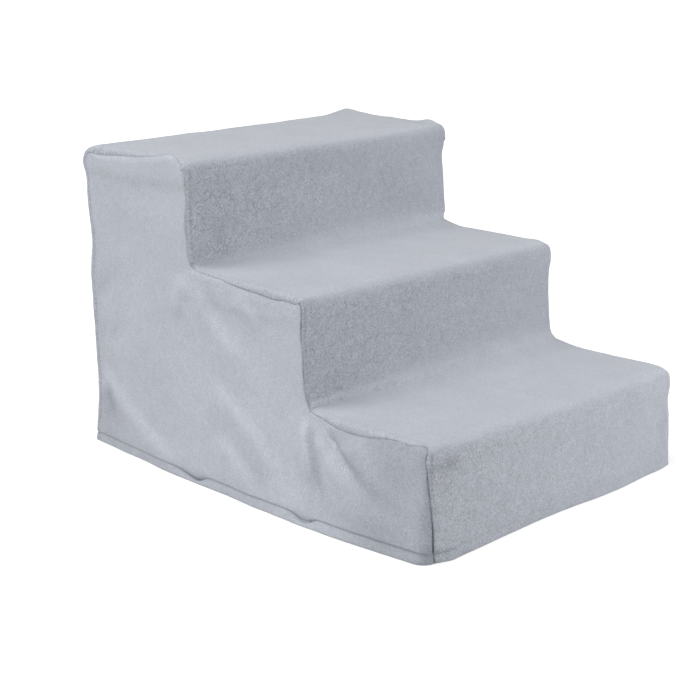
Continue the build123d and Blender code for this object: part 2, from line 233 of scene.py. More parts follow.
def fold(across, up, path, height, width, lee=1.0):
    """A soft ridge, or a valley where the height is negative, that fades at both ends of its path.
    Lee is how many times wider it is on the side that lies to the back and below."""
    best = np.full(across.shape, 1e9)
    along = np.zeros(across.shape)
    beside = np.zeros(across.shape)
    path = np.array(path, float)
    runs = np.linalg.norm(np.diff(path, axis=0), axis=1)
    travelled = np.concatenate([[0], np.cumsum(runs)])
    length = travelled[-1]
    for first, last, run, start in zip(path, path[1:], runs, travelled):
        ahead, rise = (last - first) / run
        off, above = across - first[0], up - first[1]
        share = np.clip(off * ahead + above * rise, 0, run)
        away = np.hypot(off - share * ahead, above - share * rise)
        closer = away < best
        best[closer] = away[closer]
        along[closer] = (start + share)[closer]
        beside[closer] = ((ahead * above - rise * off) / width)[closer]
    ends = np.minimum(smooth(along, -1, 0.3 * length), 1 - smooth(along, 0.6 * length, length + 1))
    widths = width * (1 + (lee - 1) * smooth(beside, -0.4, 0.4))
    return height * ends * np.exp(-((best / widths) ** 2))


def unevenness(x, y, z, size, seed):
    """Slow waves of about a given size, between -1 and 1."""
    places = zip(x / size + seed, y / size, z / size)
    return np.array([noise.noise(Vector(place)) for place in places])


# Bow of the hem, by shares of the side's depth from the front and millimetres that it stands out,
# and the heights at which the bow starts. Each fold has its height, its half width, its path and,
# where it leans, its lee.
side_bows = {
    "left": (
        (0, 0.02, 0.07, 0.195, 0.31, 0.5, 0.69, 0.8, 0.917, 1),
        (14.6, 15.4, 17.2, 21.2, 22.4, 17.6, 15.0, 9.0, 6.3, 3.0),
    ),
    "right": ((0, 0.1, 0.26, 0.42, 0.55, 0.72, 0.88, 1), (6, 11, 15, 18, 17, 13, 8, 4)),
}
bow_starts = ((0, 0.2, 0.32, 0.48, 0.68, 0.85, 1), (82, 88, 100, 150, 180, 230, 250))
side_folds = {
    "left": (
        (4.6, 9, ((450, 84), (430, 67), (400, 46), (360, 25), (320, 8), (300, 0)), 2.4),
        (-3.5, 10, ((444, 62), (426, 42), (410, 24))),
        (3.6, 8, ((266, 52), (240, 38), (210, 20), (186, 2)), 2.4),
        (4.4, 8, ((282, 108), (262, 93), (234, 78), (210, 62), (192, 48), (177, 30), (160, 4)), 2.6),
        (3.2, 9, ((304, 202), (297, 182), (282, 160), (260, 144), (234, 128), (212, 116)), 2.4),
        (3.0, 7, ((312, 200), (320, 176), (326, 148)), 1.6),
        (2.4, 9, ((246, 200), (226, 180), (206, 158)), 2.0),
        (-1.5, 12, ((424, 124), (408, 112))),
        (-1.6, 14, ((436, 170), (420, 160))),
        (5.5, 5, ((148, 98), (146, 85), (143, 75), (139, 65), (133, 52), (122, 38)), 2.4),
        (5.2, 6, ((130, 98), (128, 88), (122, 77), (112, 66), (98, 54), (78, 42)), 2.4),
        (-3.8, 6, ((120, 99), (117, 86), (110, 74), (97, 62), (74, 50))),
        (1.6, 9, ((92, 98), (85, 86), (74, 74), (60, 62)), 1.4),
    ),
    "right": (
        (4.0, 14, ((448, 92), (400, 66), (352, 40), (318, 10))),
        (-3.0, 11, ((420, 60), (388, 32))),
        (4.2, 14, ((306, 190), (276, 130), (244, 80), (222, 20))),
        (-3.2, 12, ((290, 150), (270, 90), (262, 30))),
        (3.8, 12, ((148, 96), (126, 66), (96, 38), (70, 10))),
        (-3.2, 10, ((140, 80), (132, 48), (124, 14))),
        (2.6, 14, ((60, 90), (44, 54), (36, 14))),
    ),
}

# Painted shade lies in the creases and painted highlights on the crests. Each crease has its painted
# shade, negative for a highlight, instead of a height.
painted_fold_shading = {
    "left": (
        (-0.01, 7, ((450, 88), (425, 67), (396, 48), (356, 28), (300, 6)), 1.4),
        (0.1, 11, ((438, 62), (430, 48), (420, 36))),
        (-0.01, 6, ((256, 54), (232, 40), (206, 22), (180, 8)), 1.5),
        (-0.012, 6, ((272, 100), (262, 95), (230, 84), (208, 68), (190, 54), (175, 38), (158, 8)), 1.6),
        (0.05, 9, ((212, 42), (198, 28), (184, 18))),
        (-0.01, 8, ((304, 202), (298, 192), (285, 175), (262, 152), (240, 138)), 1.6),
        (-0.035, 6, ((306, 202), (310, 185), (319, 158))),
        (0.04, 7, ((290, 198), (272, 180), (258, 168))),
        (0.04, 7, ((252, 198), (240, 172))),
        (0.04, 7, ((218, 199), (195, 163))),
        (0.04, 9, ((456, 268), (400, 272), (350, 276), (300, 280))),
        (0.04, 9, ((448, 128), (432, 116))),
        (0.04, 9, ((448, 172), (434, 160))),
        (0.04, 8, ((448, 268), (430, 262))),
        (0.16, 4.2, ((145, 99), (142, 92), (138, 76), (131, 58), (120, 38), (110, 32))),
        (-0.05, 8, ((151, 97), (150, 84), (142, 62), (134, 46))),
        (-0.02, 10, ((132, 92), (120, 68), (108, 50), (96, 38))),
        (0.07, 10, ((116, 106), (104, 94), (90, 86), (70, 80))),
        (0.12, 7, ((118, 99), (115, 90), (106, 77), (92, 65), (72, 54), (40, 44), (16, 40))),
        (0.09, 5, ((121, 97), (116, 87), (108, 76), (96, 66))),
        (0.08, 12, ((104, 84), (88, 70), (64, 58))),
        (0.09, 18, ((92, 96), (60, 80), (8, 60))),
        (-0.03, 5, ((88, 99), (82, 86), (70, 70), (60, 60))),
        (0.06, 14, ((150, 36), (120, 30), (90, 26), (40, 24))),
        (0.12, 2.5, ((324, 9.6), (283, 9.6), (262, 9.6))),
        (0.12, 2.5, ((160, 9.6), (132, 9.6), (112, 9.6))),
        (0.03, 16, ((160, 60), (130, 40), (100, 24), (60, 20))),
        (0.1, 22, ((452, 60), (430, 40), (408, 10))),
    ),
    "right": (),
}

# Each tread's skirt holds the cloth out in a lip this high, by so much at the three steps
lip_height = 34.0
lip_bulges = {"left": (0.4, 0.6, 1.4), "right": (0.6, 1.0, 3.2)}


def side_bulge(side, y, z):
    """How far a side stands out from the frame's flat sides."""
    from_front = y - front
    share = from_front / (back - front)
    drop = np.clip(1 - z / curve(share, *bow_starts), 0, 1)
    out = curve(share, *side_bows[side]) * drop**1.6

    # The cloth stands out over the tread's skirt, and turns in below it
    for top, start, end, lip_bulge in zip(cloth_tops, step_starts, step_ends, lip_bulges[side]):
        depth = top - z
        lip = smooth(depth, -1, 6) * (1 - smooth(depth, lip_height * 0.55, lip_height))
        lip *= smooth(y, start - 8, start + 4) if start > front else 1
        lip *= 1 - smooth(y, end + 1, end + 16) if end < back else 1
        out += lip_bulge * lip
    for height, width, path, *lee in side_folds[side]:
        out += fold(from_front, z, path, height, width, *lee)

    # Under the lowest step it stands out in a soft belly, and everywhere a little unevenly
    belly = smooth(from_front, 0, 48) * (1 - smooth(from_front, 60, 130))
    out += 4.5 * belly * smooth(z, 6, 30) * (1 - smooth(z, 62, 100))
    seed = 3.1 if side == "left" else 17.7
    still = 1 - 0.5 * smooth(z, 60, 120)
    out += 0.9 * still * unevenness(np.zeros(len(y)), y, z, 46, seed)
    out += 0.35 * unevenness(np.zeros(len(y)), y, z, 19, seed + 5)
    return out


# The strip's bows at the front and back hems go by shares of its width from the left, and its lean
# at the back by heights. Its folds are told as the sides' are, from the left instead of the front.
front_drop_start = 80.0
face_reach = 20.0
front_bow = (
    (0, 0.05, 0.11, 0.23, 0.36, 0.5, 0.68, 0.74, 0.88, 0.94, 1),
    (11.0, 13.2, 12.8, 10.6, 8.2, 7.2, 10.2, 10.2, 6.4, 5.8, 1.4),
)
back_bow = ((0, 0.2, 0.42, 0.6, 0.8, 1), (3, 6, 8.5, 7, 4.5, 3))
back_lean = (
    (0, 20, 34, 48, 62, 80, 120, 150, 172, 190, 207, 222, 240, 262, 276, 288, 298, 304, 308),
    (5.6, 3.2, 2.8, 1.6, 1.8, 3.8, 6.8, 8.9, 10.5, 9.4, 7.2, 8.4, 11.0, 12.4, 13.2, 16, 12, 6, 1),
)
front_folds = (
    (1.6, 9, ((14, 84), (26, 60), (30, 26))),
    (-1.8, 7, ((4, 86), (18, 84), (34, 78))),
    (1.4, 12, ((70, 66), (96, 38), (110, 8))),
    (1.2, 10, ((150, 40), (170, 8))),
    (1.8, 8, ((346, 70), (340, 40), (330, 8))),
    (-1.6, 7, ((332, 52), (322, 24))),
)
back_folds = (
    (2.0, 16, ((60, 90), (90, 50), (104, 8))),
    (2.4, 18, ((180, 110), (172, 60), (180, 8))),
    (1.8, 14, ((300, 90), (270, 50), (262, 8))),
)


def share_across(across):
    """A place across the strip as a share of its width, from the left seam to the right one."""
    return np.clip((across + strip_half) / (2 * strip_half), 0, 1)


def back_hang(across, y, z, normal_y):
    """The back hangs clear of the frame, most of all under the edge of the top step."""
    lean = curve(z, *back_lean) * (1 - 0.5 * share_across(across)) * smooth(normal_y, 0.1, 0.8)
    return np.column_stack([np.where(y > back - face_reach, lean, 0), np.zeros(len(y))])


def strip_bulge(across, y, z, normal_y, normal_z):
    """How far the strip stands out from the steps' faces."""
    share = share_across(across)
    from_left = share * 2 * strip_half
    from_right = 2 * strip_half - from_left
    at_front, at_back = y < front + face_reach, y > back - face_reach
    edge_reach = 16
    out = np.zeros(across.shape)
    drop = np.clip(1 - z / front_drop_start, 0, 1) ** 1.4
    upright = smooth(abs(normal_y), 0.3, 0.95)
    for faces, bow, folds in ((at_front, front_bow, front_folds), (at_back, back_bow, back_folds)):
        stand = curve(share, *bow) * drop
        for height, width, path in folds:
            stand += fold(from_left, z, path, height, width)
        out += np.where(faces, stand * upright, 0)

    # The side's hem tucks in where it ends at the front seam
    tuck = 3.0 * (1 - smooth(z, 1, 16)) * np.exp(-((from_left / 14) ** 2))
    out -= np.where(at_front, tuck, 0)

    # A slight lip below each nosing
    for top, start in zip(cloth_tops, step_starts):
        depth = top - z
        lip = smooth(depth, 0, 9) * (1 - smooth(depth, 20, lip_height)) * smooth(-normal_y, 0.2, 0.9)
        out += np.where((normal_y < 0) & (abs(y - start) < edge_reach), 1.6 * lip, 0)

    # The middle riser leans out at its left foot, and the top one along its right edge
    foot = 1 - smooth(z, cloth_tops[0] + 6, cloth_tops[1] - 30)
    riser = (normal_y < -0.3) & (abs(y - risers[0]) < face_reach) & (z > cloth_tops[0])
    out += np.where(riser, 5.0 * foot * (1 - 0.8 * share), 0)
    riser = (normal_y < -0.3) & (abs(y - risers[1]) < face_reach) & (z > cloth_tops[1])
    lean = 7 - 5 * smooth(z, 230, 290)
    out += np.where(riser, lean * smooth(share, 0.6, 1) * smooth(-normal_y, 0.3, 0.9), 0)

    # The top step's left seam stands up in a ridge behind its front corner
    behind = y - risers[1]
    ridge = smooth(behind, 2, 20) * (1 - smooth(behind, 30, 74)) * np.exp(-((from_left / 9) ** 2))
    on_top = z > cloth_tops[2] - edge_reach
    out += np.where(on_top, 3.2 * ridge, 0)

    # The top step's right corners stand up in small horns, and the lower edges sag at the right
    level = smooth(normal_z, 0.3, 0.95)
    near_right = np.exp(-from_right / 40)
    for place, height, size in ((risers[1] + 12, 4.6, 14), (back - 11, 4.6, 26)):
        horn = height * np.exp(-(((y - place) ** 2 + from_right**2) / size**2))
        out += np.where(on_top, horn, 0)
    for top, start, end, depth in zip(cloth_tops, step_starts, step_ends, (1.8, 4.0, -0.8)):
        span = np.clip((y - start) / (end - start), 0, 1)
        sag = depth * 4 * span * (1 - span) * near_right
        out -= np.where(abs(z - top) < edge_reach, sag * level, 0)

    # At the right, the front corners of the steps are worn rounder
    for top, start, worn in zip(cloth_tops, step_starts, (4.0, 4.0, 0.6)):
        out -= worn * np.exp(-(((y - start) ** 2 + (z - top) ** 2) / 100)) * near_right

    # Each tread's cloth lies in slow waves
    out += 0.7 * level * unevenness(across, y, z * 0, 60, 31.0)
    out += 0.45 * unevenness(across, y, z, 24, 47.0)
    return out


# Cover, its seams: the sides and the strip are sewn right sides together and meet in a rounded
# corner, on which the seam shows as a groove. It was guided through the machine by hand, so it
# wanders over the corner, and carries the cloth beside it along.
groove_width = 0.8
carry = 46.0

# A place on the corner is its path length from the middle of the round, over the side where
# positive. The walk is told face by face, from the front hem over the three steps to the back hem,
# as shares of each face's length and the seam's places there.
seam_walks = {
    "left": (
        ((0, 0.05, 0.23, 0.47, 0.75, 0.93), (-11, -7.0, -4.0, -1.6, 2.6, 6.0)),
        ((0.03, 0.16, 0.29, 0.49, 0.65, 0.8, 0.9, 0.98), (-0.8, 2.8, 2.8, 7.9, 8.9, 6.0, 3.2, 1.2)),
        ((0.03, 0.12, 0.22, 0.5, 0.72, 0.93), (1.6, 3.6, 4.1, 3.0, 4.5, 5)),
        (
            (0.03, 0.07, 0.14, 0.25, 0.4, 0.62, 0.8, 0.92, 0.98),
            (8, 8.4, 7.0, 8.4, 7.3, 4.0, 1.4, 0.5, -0.5),
        ),
        ((0.07, 0.2, 0.34, 0.5, 0.63, 0.78, 0.9, 0.98), (4.0, 6, 7, 6.7, 5.2, 7, 8, 10)),
        ((0.04, 0.11, 0.15, 0.24, 0.32, 0.4, 0.6, 0.82, 0.96), (9, 3, 0, 0.5, 2.5, 3, 5, 7.5, 9)),
        ((0.04, 0.1, 0.2, 0.5, 0.95), (6.3, 5.3, 5.8, 6.3, 5.3)),
    ),
    "right": (
        ((0.05, 0.3, 0.8), (4, 3, 3)),
        ((0.1, 0.5, 0.9), (2, 7, 4)),
        ((0.15, 0.5, 0.85), (2, 1, 2)),
        ((0.1, 0.5, 0.9), (6, 7, 4)),
        ((0.15, 0.5, 0.85), (3, 2, 2)),
        ((0.1, 0.5, 0.9), (1, 4, 5)),
        ((0.1, 0.5, 0.9), (5, 4, 4)),
    ),
}

# Face by face in the same order: the corner's radius, the groove's depth and the painted shade along
# its seam
corner_rounds = {
    "left": (13.0, 6.0, 2.6, 6.0, 2.6, 6.0, 3.5),
    "right": (7.0, 6.0, 2.6, 6.0, 2.6, 6.0, 3.5),
}
groove_depths = (0.8, 0.6, 1.2, 0.7, 0.7, 0.35, 0.8)
painted_seam_levels = (0.26, 0.12, 0.34, 0.13, 0.16, 0.07, 0.04)


def corner_section(distance, direction, seam_place, groove_depth, corner_round):
    """The set-back from the side's face and the drop from the strip's face, seam groove included,
    by distance from a piece's own edge. Direction is 1 on the side and -1 on the strip."""
    end = direction * corner_round * (math.pi / 4 - 1)
    path = end + direction * distance + (seam_place - end) * (1 - smooth(distance, 0, carry))
    angle = np.clip(path / corner_round + math.pi / 4, 0, math.pi / 2)
    beyond = abs(path) - corner_round * math.pi / 4
    set_back = corner_round * (1 - np.sin(angle)) + np.maximum(beyond, 0) * (path < 0)
    drop = corner_round * (1 - np.cos(angle)) + np.maximum(beyond, 0) * (path > 0)
    groove = groove_depth * np.exp(-(((path - seam_place) / groove_width) ** 2))
    return set_back + groove * np.sin(angle), drop + groove * np.cos(angle)


def even_out(values, reach):
    """Values along the seam, each averaged with its neighbours."""
    weights = np.exp(-(((seam_lengths[:, None] - seam_lengths[None]) / reach) ** 2))
    weights *= np.gradient(seam_lengths)
    return weights @ values / weights.sum(axis=1)


def seam_places(side):
    """Where the seam runs on the corner, as path lengths round it."""
    corners = seam_lengths[seam_corners]
    lengths, places = [], []
    for start, end, (shares, walk) in zip(corners, corners[1:], seam_walks[side]):
        lengths += [start + share * (end - start) for share in shares]
        places += walk
    place = curve(seam_lengths, lengths, places)
    seed = 8.0 if side == "left" else 12.0
    place += 0.6 * unevenness(np.zeros(len(place)), *seam_outside.T, 14, seed)
    return even_out(place, 4)


seam_face = np.searchsorted(seam_corners[1:-1], np.arange(len(seam_outside)))
seam_rounds = {}
for side, rounds in corner_rounds.items():
    # The front corner is roundest at the hem and narrows toward the nosing
    narrowed = (rounds[0] - 4) * smooth(seam_outside[:, 1], 30, cloth_tops[0])
    face_rounds = np.array(rounds)[seam_face] - np.where(seam_face == 0, narrowed, 0)
    seam_rounds[side] = even_out(face_rounds, 8)
seam_depths = even_out(np.array(groove_depths)[seam_face], 8)
seam_depths *= 1 + 0.45 * unevenness(np.zeros(len(seam_depths)), *seam_outside.T, 7, 91.0)
# The painted shade along the seam, uneven along its length
painted_seam_darkness = even_out(np.array(painted_seam_levels)[seam_face], 8)
painted_seam_darkness *= 1 + 0.8 * unevenness(np.zeros(len(seam_depths)), *seam_outside.T, 9, 24.0)


# Cover, its hems: the lower edges are turned up once and stitched through both layers, with a
# thread that sinks out of sight in the pile. The turned-up layer makes the hem thicker inside.
hem_layer = 1.3
thinnest = 0.5


def turned_up(z, bulge):
    """How far the hem's second layer stands inward, where the cloth hangs clear of the frame."""
    return hem_layer * (1 - smooth(z, hem_high - 0.2, hem_high + 0.8)) * (bulge > 2)


def hem_relief(z):
    """The cloth swells over the hem, whose stitching draws it in, and stands out again below."""
    above = np.exp(-((np.maximum(z - stitch_height, 0) / 1.3) ** 2))
    below = 0.45 + 0.55 * np.exp(-(np.maximum(stitch_height - z, 0) / 2.2))
    swell = 1.0 - smooth(z, 16, 34)
    return swell - 1.7 * above * below


def hem_tucks(side, from_front, z):
    """Where the left hem is caught in two small tucks, its stitches come lower and lie deeper."""
    near = np.zeros(len(z))
    for place, behind in ((283, 24), (132, 14)):
        reach = np.where(from_front > place, behind, 9)
        near += np.exp(-(((from_front - place) / reach) ** 2)) * (side == "left")
    in_hem = np.clip((z - hem_low) / (stitch_height - hem_low), 0, 1)
    lower = 5.6 * near * in_hem * (1 - smooth(z, 12, 34))
    deeper = 1.9 * near * np.exp(-(((z - stitch_height) / 2.4) ** 2))
    fuller = 1.8 * near * smooth(z, 11, 15) * (1 - smooth(z, 16, 40))
    return lower, deeper - fuller


def painted_seam_line(distance, parting):
    """Painted shade in a fine line along a seam, where its groove lies in shade, and faintly beside it.
    """
    return parting * np.exp(-((distance / 0.8) ** 2)) + 0.03 * np.exp(-((distance / 3.0) ** 2))


def painted_stitch_line(z):
    """Painted shade along the stitches of a hem, under the cloth that swells over them."""
    return 0.12 * np.exp(-(((z - stitch_height) / 1.0) ** 2))


def shell(name, outer, inner, faces, seams, hems, painted_shade):
    """A closed piece of cloth: two faces, closed along its seams, with round hems. Painted shade tells
    how much shade is painted onto each point of the outer face, where it is darker; where negative, it
    is a painted highlight."""
    hem_steps = 7
    sharp_edge = math.radians(80)
    count = len(outer)
    points = [outer, inner]
    quads = [faces, faces[:, ::-1] + count]
    for path in seams:
        first, last = np.array(path[:-1]), np.array(path[1:])
        quads.append(np.stack([first, last, last + count, first + count], axis=1))
    total = 2 * count
    for path in hems:
        path = np.array(path)
        middle, half = (outer[path] + inner[path]) / 2, (outer[path] - inner[path]) / 2
        radius = np.minimum(np.linalg.norm(half, axis=1), hem_low)[:, None]
        previous = path
        for angle in np.linspace(0, math.pi, hem_steps + 1)[1:-1]:
            ring = middle + half * math.cos(angle) - np.array((0, 0, 1)) * radius * math.sin(angle)
            points.append(ring)
            current = np.arange(total, total + len(path))
            quads.append(np.stack([previous[:-1], current[:-1], current[1:], previous[1:]], axis=1))
            total += len(path)
            previous = current
        current = path + count
        quads.append(np.stack([previous[:-1], current[:-1], current[1:], previous[1:]], axis=1))
    mesh = bpy.data.meshes.new(name)
    mesh.from_pydata((np.concatenate(points) / to_mm).tolist(), [], np.concatenate(quads).tolist())
    mesh.validate()
    mesh.update()
    values = np.zeros(len(mesh.vertices))
    values[:count] = painted_shade
    mesh.attributes.new("painted_shade", "FLOAT", "POINT").data.foreach_set("value", values)
    piece = bpy.data.objects.new(name, mesh)
    bpy.context.scene.collection.objects.link(piece)
    bpy.context.view_layer.objects.active = piece
    bpy.ops.object.select_all(action="DESELECT")
    piece.select_set(True)
    bpy.ops.object.mode_set(mode="EDIT")
    bpy.ops.mesh.select_all(action="SELECT")
    bpy.ops.mesh.normals_make_consistent(inside=False)
    bpy.ops.object.mode_set(mode="OBJECT")
    mesh.polygons.foreach_set("use_smooth", [True] * len(mesh.polygons))
    mesh.set_sharp_from_angle(angle=sharp_edge)
    return piece


# Across an inner corner the strip cuts in a wide hollow, where nothing below holds it down
seam_round = side_outline(cloth_reach, round_sharpnesses, corner_radii)[seam_numbers]
seam_wide = side_outline(cloth_reach, round_sharpnesses, bridge_radii)[seam_numbers]


def bridging_at(across):
    """The share of the wide hollow at a place across the strip."""
    share = smooth(across + strip_half, -30, 200) * smooth(strip_half - across, -40, 70)
    return share[:, None]


# What both the strip and a side follow at their shared seam
side_signs = {"left": -1, "right": 1}
seams = {}
for side, sign in side_signs.items():
    ends = np.full(len(seam_outside), sign * strip_half)
    seams[side] = (
        # How far the side stands out, and how the seam is shifted in Y and Z
        side_bulge(side, *seam_outside.T),
        seam_normals * strip_bulge(ends, *seam_outside.T, *seam_normals.T)[:, None]
        + back_hang(ends, *seam_outside.T, seam_normals[:, 0])
        + (seam_wide - seam_round) * bridging_at(ends),
        # Where the seam runs on the corner, and the corner's radius
        seam_places(side),
        seam_rounds[side],
    )

# Cover, its fleece: brushed knit polyester with a short dense pile, pale blue-grey. The pile
# scatters light at grazing angles, hides every thread, and shows as a fine grain with faint clouds
# where it was stroked. Its tufts are about 0.6 mm wide, too fine to show, so the grain is coarser.
grain_size = 1.3
tuft_group_size = 6
cloud_size = 50
pile_height = 0.6


def linear(colour):
    """An sRGB hex colour, as the linear values that a shader takes."""
    channels = [int(colour[place : place + 2], 16) / 255 for place in (0, 2, 4)]
    return [*(c / 12.92 if c <= 0.04045 else ((c + 0.055) / 1.055) ** 2.4 for c in channels), 1]


def add_node(tree, kind, settings=None, links=None):
    """One node with its settings by socket or property, and its links by socket."""
    node = tree.nodes.new(kind)
    for key, value in (settings or {}).items():
        if isinstance(key, int) or key in node.inputs:
            node.inputs[key].default_value = value
        else:
            setattr(node, key, value)
    for key, source in (links or {}).items():
        tree.links.new(source, node.inputs[key])
    return node


def new_material(name):
    """An empty material and its node tree."""
    material = bpy.data.materials.new(name)
    material.use_nodes = True
    material.node_tree.nodes.clear()
    return material, material.node_tree


def fleece(name, lightness, flat_depth, upright_depth, right_depth):
    """Fleece with painted shade between its tufts, deeper where it hangs upright than where it lies
    flat, and deeper toward the left than the right, where light grazes it less."""
    material, tree = new_material(name)
    place = add_node(tree, "ShaderNodeTexCoord").outputs["Object"]
    brushed = add_node(tree, "ShaderNodeMapping", {"Scale": (1, 1, 0.85)}, {"Vector": place})
    brushed = brushed.outputs["Vector"]
    patterns = ((grain_size, 1.0, brushed), (tuft_group_size, 1.0, brushed), (cloud_size, 2.0, place))
    grain, tufts, clouds = (
        add_node(
            tree,
            "ShaderNodeTexNoise",
            {"Scale": to_mm / size, "Detail": detail, "Roughness": 0.5},
            {"Vector": vector},
        ).outputs["Fac"]
        for size, detail, vector in patterns
    )
    tuft_share = 0.25
    pile_mean = 0.5 * (1 + tuft_share)
    pile = add_node(
        tree, "ShaderNodeMath", {"operation": "MULTIPLY_ADD", 1: tuft_share}, {0: tufts, 2: grain}
    ).outputs[0]

    # The depth of the painted shade and of the bump goes by how upright the cloth is, and by the place
    # across the stairs
    normal = add_node(tree, "ShaderNodeNewGeometry").outputs["Normal"]
    level = add_node(tree, "ShaderNodeSeparateXYZ", {}, {"Vector": normal}).outputs["Z"]
    level = add_node(tree, "ShaderNodeMath", {"operation": "ABSOLUTE"}, {0: level}).outputs[0]
    across = add_node(tree, "ShaderNodeSeparateXYZ", {}, {"Vector": place}).outputs["X"]
    edge = half_width / to_mm
    upright = add_node(
        tree, "ShaderNodeMapRange", {1: -edge, 2: edge, 3: upright_depth, 4: right_depth}, {0: across}
    ).outputs[0]
    depth = add_node(
        tree, "ShaderNodeMapRange", {4: flat_depth}, {0: level, 3: upright}
    ).outputs[0]

    # Pile, clouds and the painted shade add up to one tone
    shade = add_node(tree, "ShaderNodeMath", {"operation": "SUBTRACT", 1: pile_mean}, {0: pile})
    shade = add_node(
        tree,
        "ShaderNodeMath",
        {"operation": "MULTIPLY_ADD", 2: lightness},
        {0: shade.outputs[0], 1: depth},
    )
    shade = add_node(
        tree,
        "ShaderNodeMath",
        {"operation": "MULTIPLY_ADD", 1: 0.1},
        {0: clouds, 2: shade.outputs[0]},
    )
    # Painted shade from the mesh darkens the colour here, and where it is negative, a painted highlight
    # lightens it
    painted_shade = add_node(tree, "ShaderNodeAttribute", {"attribute_name": "painted_shade"}).outputs["Fac"]
    shade = add_node(
        tree, "ShaderNodeMath", {"operation": "SUBTRACT"}, {0: shade.outputs[0], 1: painted_shade}
    )
    colours = add_node(tree, "ShaderNodeValToRGB", {}, {"Fac": shade.outputs[0]})
    dark, pale = colours.color_ramp.elements
    dark.position, dark.color = 0.0, linear("70757f")
    pale.position, pale.color = 0.8, linear("e1e5ee")
    bump = add_node(
        tree, "ShaderNodeBump", {"Distance": pile_height / to_mm}, {"Strength": depth, "Height": pile}
    )
    finish = {"Roughness": 0.95, "IOR": 1.45, "Specular IOR Level": 0.15}
    sheen = {"Sheen Weight": 0.25, "Sheen Roughness": 0.45}
    surface = add_node(
        tree,
        "ShaderNodeBsdfPrincipled",
        {**finish, **sheen},
        {"Base Color": colours.outputs["Color"], "Normal": bump.outputs["Normal"]},
    )
    add_node(tree, "ShaderNodeOutputMaterial", {}, {"Surface": surface.outputs["BSDF"]})
    return material


# Sides of the cover: two panels of fleece cut as stairs, one layer each, hemmed at the floor and
# sewn to the strip along the steps. They hang from that seam over the ends of the treads.
seam_distance = np.full(len(grid_y), 1e9)
for start in range(0, len(seam_outside), 40):
    away = np.linalg.norm(outline_outside[:, None] - seam_outside[None, start : start + 40], axis=2)
    seam_distance = np.minimum(seam_distance, away.min(axis=1))


def follow_seam(values):
    """Carries values along the seam into the side, most of all from the nearest stretch."""
    squares = ((outline_outside[:, None] - seam_outside[None]) ** 2).sum(axis=2)
    weights = 1 / (squares + 4) ** 2
    carried = weights @ values / weights.sum(axis=1)[:, None]
    carried[seam_numbers] = values
    return carried


def cover_side(side):
    """One side of the cover, from the seam to its hem."""
    sign = side_signs[side]
    seam_shift, seam_place, corner_round = seams[side][1:]
    from_front = grid_y - front
    bulge = side_bulge(side, grid_y, grid_z)
    corner = np.column_stack([seam_place, seam_depths, corner_round, painted_seam_darkness])
    carried = follow_seam(np.column_stack([seam_normals, seam_shift, corner]))
    pulled = carried[:, 2:4] * (1 - smooth(seam_distance, 0, 70))[:, None]
    set_back, drop = corner_section(seam_distance, 1, *carried[:, 4:7].T)
    outside = outline_outside + pulled - carried[:, :2] * (drop - seam_distance)[:, None]
    lower, deeper = hem_tucks(side, from_front, grid_z)
    out = strip_half + bulge - set_back + hem_relief(grid_z) - deeper
    outer = np.column_stack([middle_x + sign * out, outside - np.outer(lower, (0, 1))])
    inner_out = np.maximum(out - cloth_thickness, half_width + inside_reach)
    inner_out = np.minimum(inner_out - turned_up(grid_z, bulge), out - thinnest)
    inner = np.column_stack([middle_x + sign * inner_out, outline_inside + pulled])

    # Painted shade, darkest toward the front edge and the floor and in the creases, with painted
    # highlights on the crests
    painted_shade = painted_seam_line(seam_distance, carried[:, 7]) + 0.7 * painted_stitch_line(grid_z)
    painted_shade += 0.07 * np.exp(-((from_front / 12) ** 2)) + 0.12 * (1 - smooth(from_front, 40, 100))
    painted_shade += 0.04 * (1 - smooth(grid_z, 10, 80)) + 0.03 * (1 - smooth(grid_z, 7, 11))
    for shade, width, path, *lee in painted_fold_shading[side]:
        painted_shade += fold(from_front, grid_z, path, shade, width, *lee)
    name = f"cover_side_{side}_cloth"
    return shell(name, outer, inner, side_faces, [seam_numbers], [hem_numbers], painted_shade)


# The sides' fleece is painted lighter than the strip's, though it is the same cloth, for the light that
# falls on the sides
side_fleece = fleece(
    "brushed_fleece_painted_lighter_sides", lightness=0.5, flat_depth=0.4, upright_depth=0.4, right_depth=0.4
)
for side in side_signs:
    piece = cover_side(side)
    piece.data.materials.append(side_fleece)
    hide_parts(f"cover_side_{side}")
    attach(piece, "cover")

# Centre strip: one length of the same fleece, hemmed at the front and at the back and sewn to both
# sides. Its seam allowances lie under its own edges, and show as a low ridge beside each seam.
strip_steps = np.array((0.4, 0.9, 1.5, 2.2, 3.1, 4.2, 5.4, 6.6, 7.8, 9.0, 10.4, 12.4, 15.2))
middle_half = strip_half - strip_steps[-1]
middle_count = 92
middle_columns = np.linspace(-middle_half, middle_half, middle_count)
left_columns = [-strip_half, *(strip_steps[:-1] - strip_half)]
right_columns = [*(strip_half - strip_steps[-2::-1]), strip_half]
strip_columns = np.concatenate([left_columns, middle_columns, right_columns])
row_count, column_count = len(seam_outside), len(strip_columns)
strip_x = np.tile(strip_columns, row_count)
strip_share = share_across(strip_x)
edge_distance = strip_half - abs(strip_x)


def to_strip(values):
    """Values along the seam, repeated in every column of the strip."""
    return np.repeat(values, column_count, axis=0)


def from_seams(index):
    """One value along both seams, carried straight across the strip's nearer half."""
    values = [to_strip(seams[side][index]) for side in ("left", "right")]
    return np.where(strip_x < 0, *values)


